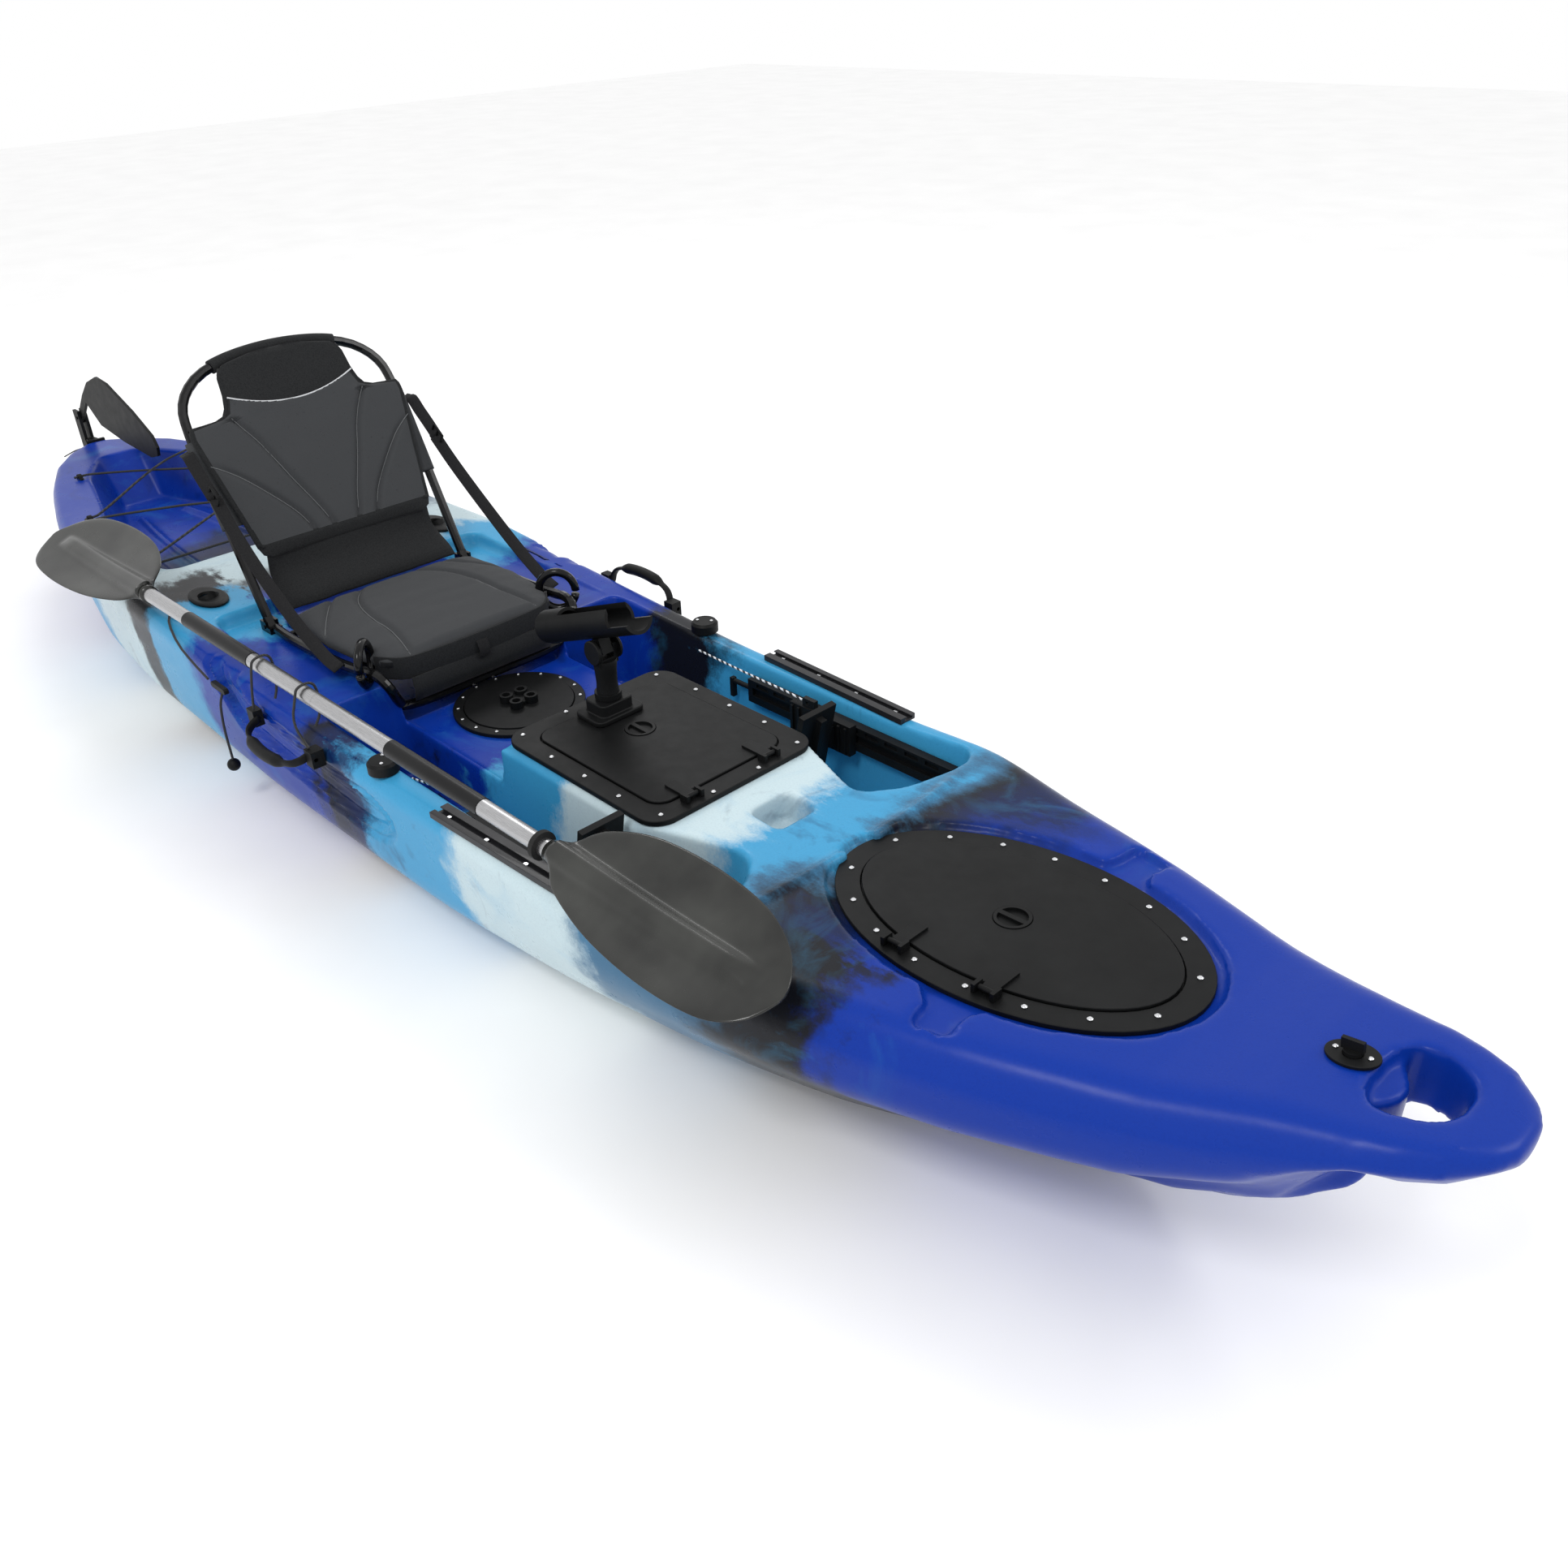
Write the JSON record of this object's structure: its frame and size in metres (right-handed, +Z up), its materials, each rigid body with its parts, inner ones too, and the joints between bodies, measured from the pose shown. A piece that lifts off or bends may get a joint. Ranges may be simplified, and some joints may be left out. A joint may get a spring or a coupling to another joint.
{
  "type": "sit-on-top fishing kayak",
  "caption": "Blue, white and black sit-on-top fishing kayak with framed seat, console, bow hatch, rudder, foot pedals, rod holders and a strapped paddle.",
  "frame": {"origin": "centre of the flat hull bottom, amidships", "axes": "+X towards the bow, +Y to port, +Z up"},
  "size_m": [3.9841, 0.9447, 0.7973],
  "materials": {
    "hull_plastic": "satin",
    "black_plastic": "satin",
    "seal_rubber": "matt",
    "screw_steel": "bright",
    "track_metal": "satin",
    "bungee_cord": "matt",
    "steering_rope": "matt",
    "seat_tube": "gloss",
    "grey_fabric": "matt",
    "black_webbing": "matt",
    "shaft_metal": "brushed",
    "blade_plastic": "gloss"
  },
  "bodies": {
    "root": {"hull_shell": "hull_plastic", "keel_skid": "hull_plastic", "bow_hatch_frame": "black_plastic", "bow_hatch_seal": "seal_rubber", "bow_hatch_hinges": "black_plastic", "bow_hatch_screws": "screw_steel", "console_frame": "black_plastic", "console_seal": "seal_rubber", "console_hinges": "black_plastic", "console_screws": "screw_steel", "day_hatch_frame": "black_plastic", "day_hatch_screws": "screw_steel", "gear_tracks": "track_metal", "gunwale_caps": "black_plastic", "deck_screws": "screw_steel", "handle_bases": "black_plastic", "flush_rod_holders": "black_plastic", "pad_eyes": "black_plastic", "tank_bungee": "bungee_cord", "paddle_bungees": "bungee_cord", "toggle_cord": "bungee_cord", "cord_toggle": "black_plastic", "bow_drain_base": "black_plastic", "seat_base_frame": "seat_tube", "seat_cushion": "grey_fabric", "seat_straps": "black_webbing", "strap_buckles": "black_plastic", "foot_rails": "black_plastic", "steering_lines": "steering_rope", "rudder_bracket": "black_plastic", "rudder_lines": "bungee_cord"},
    "bow_lid": {"bow_hatch_lid": "black_plastic", "bow_hatch_straps": "black_plastic"},
    "bow_latch": {"bow_hatch_latch": "black_plastic"},
    "console_lid_body": {"console_lid": "black_plastic", "console_straps": "black_plastic", "rod_holder_base": "black_plastic"},
    "console_latch_body": {"console_latch": "black_plastic"},
    "rod_stem": {"rod_holder_stem": "black_plastic"},
    "rod_cradle": {"rod_holder_cradle": "black_plastic"},
    "day_lid": {"day_hatch_lid": "black_plastic"},
    "day_knob": {"day_hatch_knob": "black_plastic"},
    "handle_port": {"carry_handle_port": "black_plastic"},
    "handle_starboard": {"carry_handle_starboard": "black_plastic"},
    "drain_plug": {"bow_drain_plug": "black_plastic"},
    "seat_back": {"seat_back_frame": "seat_tube", "seat_back_pad": "grey_fabric"},
    "carrier_port": {"foot_carrier_port": "black_plastic"},
    "carrier_starboard": {"foot_carrier_starboard": "black_plastic"},
    "pedal_port": {"foot_pedal_port": "black_plastic"},
    "pedal_starboard": {"foot_pedal_starboard": "black_plastic"},
    "adjuster_port": {"foot_adjuster_port": "black_plastic"},
    "adjuster_starboard": {"foot_adjuster_starboard": "black_plastic"},
    "rudder_head_body": {"rudder_head": "black_plastic"},
    "rudder_blade_body": {"rudder_blade": "black_plastic"},
    "paddle_fore": {"paddle_blade_fore": "blade_plastic", "paddle_shaft_fore": "shaft_metal", "paddle_drip_ring": "seal_rubber"},
    "paddle_aft": {"paddle_blade_aft": "blade_plastic", "paddle_shaft_aft": "shaft_metal"}
  },
  "joints": [
    {"name": "bow_lid_hinge", "type": "hinge", "parent": "root", "child": "bow_lid", "pos_m": [1.29462, -0.15, 0.32709], "axis": [0.9986, 0, 0.0534], "range_deg": [0, 100]},
    {"name": "bow_latch_turn", "type": "hinge", "parent": "bow_lid", "child": "bow_latch", "pos_m": [1.295, 0, 0.32], "axis": [-0.0534, 0, 0.9986], "range_deg": [0, 90]},
    {"name": "console_lid_hinge", "type": "hinge", "parent": "root", "child": "console_lid_body", "pos_m": [0.735, 0, 0.3171], "axis": [0, 1, 0], "range_deg": [0, 100]},
    {"name": "console_latch_turn", "type": "hinge", "parent": "console_lid_body", "child": "console_latch_body", "pos_m": [0.503, 0, 0.305], "axis": [0, 0, 1], "range_deg": [0, 90]},
    {"name": "rod_holder_swivel", "type": "hinge", "parent": "console_lid_body", "child": "rod_stem", "pos_m": [0.42, 0, 0.34], "axis": [0, 0, 1], "range_deg": [-170, 170]},
    {"name": "rod_holder_tilt", "type": "hinge", "parent": "rod_stem", "child": "rod_cradle", "pos_m": [0.42, 0, 0.4382], "axis": [0, 1, 0], "range_deg": [-25, 60]},
    {"name": "day_lid_lift", "type": "slide", "parent": "root", "child": "day_lid", "axis": [0, 0, 1], "range_m": [0, 0.06]},
    {"name": "day_knob_turn", "type": "hinge", "parent": "day_lid", "child": "day_knob", "pos_m": [0.124, 0, 0.228], "axis": [0, 0, 1], "range_deg": [0, 90]},
    {"name": "port_handle_swing", "type": "hinge", "parent": "root", "child": "handle_port", "pos_m": [-0.0055, 0.419, 0.276], "axis": [1, 0, 0], "range_deg": [-140, 5]},
    {"name": "starboard_handle_swing", "type": "hinge", "parent": "root", "child": "handle_starboard", "pos_m": [-0.0055, -0.419, 0.276], "axis": [1, 0, 0], "range_deg": [-70, 40]},
    {"name": "drain_plug_turn", "type": "hinge", "parent": "root", "child": "drain_plug", "pos_m": [1.758, 0, 0.3746], "axis": [-0.1582, 0, 0.9874], "range_deg": [0, 90]},
    {"name": "seat_back_fold", "type": "hinge", "parent": "root", "child": "seat_back", "pos_m": [-0.405, 0, 0.306], "axis": [0, 1, 0], "range_deg": [0, 60]},
    {"name": "port_brace_adjust", "type": "slide", "parent": "root", "child": "carrier_port", "axis": [1, 0, 0], "range_m": [-0.1, 0.1], "deforming": ["steering_lines"]},
    {"name": "starboard_brace_adjust", "type": "slide", "parent": "root", "child": "carrier_starboard", "axis": [1, 0, 0], "range_m": [-0.1, 0.1], "deforming": ["steering_lines"]},
    {"name": "port_pedal_steer", "type": "slide", "parent": "carrier_port", "child": "pedal_port", "axis": [1, 0, 0], "range_m": [-0.045, 0.045]},
    {"name": "starboard_pedal_steer", "type": "slide", "parent": "carrier_starboard", "child": "pedal_starboard", "axis": [1, 0, 0], "range_m": [-0.045, 0.045]},
    {"name": "port_adjuster_turn", "type": "hinge", "parent": "root", "child": "adjuster_port", "pos_m": [0.42, 0.318, 0.245], "axis": [1, 0, 0], "range_deg": [-90, 0]},
    {"name": "starboard_adjuster_turn", "type": "hinge", "parent": "root", "child": "adjuster_starboard", "pos_m": [0.42, -0.318, 0.245], "axis": [1, 0, 0], "range_deg": [0, 90]},
    {"name": "rudder_steer", "type": "hinge", "parent": "root", "child": "rudder_head_body", "pos_m": [-1.985, 0, 0.29], "axis": [0, 0, 1], "range_deg": [-35, 35]},
    {"name": "rudder_flip", "type": "hinge", "parent": "rudder_head_body", "child": "rudder_blade_body", "pos_m": [-2.012, 0, 0.376], "axis": [0, 1, 0], "range_deg": [-220, 0]},
    {"name": "paddle_draw", "type": "slide", "parent": "root", "child": "paddle_fore", "axis": [0.999, 0.0352, -0.029], "range_m": [-0.2, 0.2]},
    {"name": "paddle_feather", "type": "hinge", "parent": "paddle_fore", "child": "paddle_aft", "pos_m": [0.10015, -0.38493, 0.37201], "axis": [-0.999, -0.0352, 0.029], "range_deg": [-45, 45]}
  ],
  "couplings": [
    {"joint": "port_pedal_steer", "follows": "rudder_steer", "m_per_rad": 0.07367},
    {"joint": "starboard_pedal_steer", "follows": "rudder_steer", "m_per_rad": -0.07367}
  ]
}
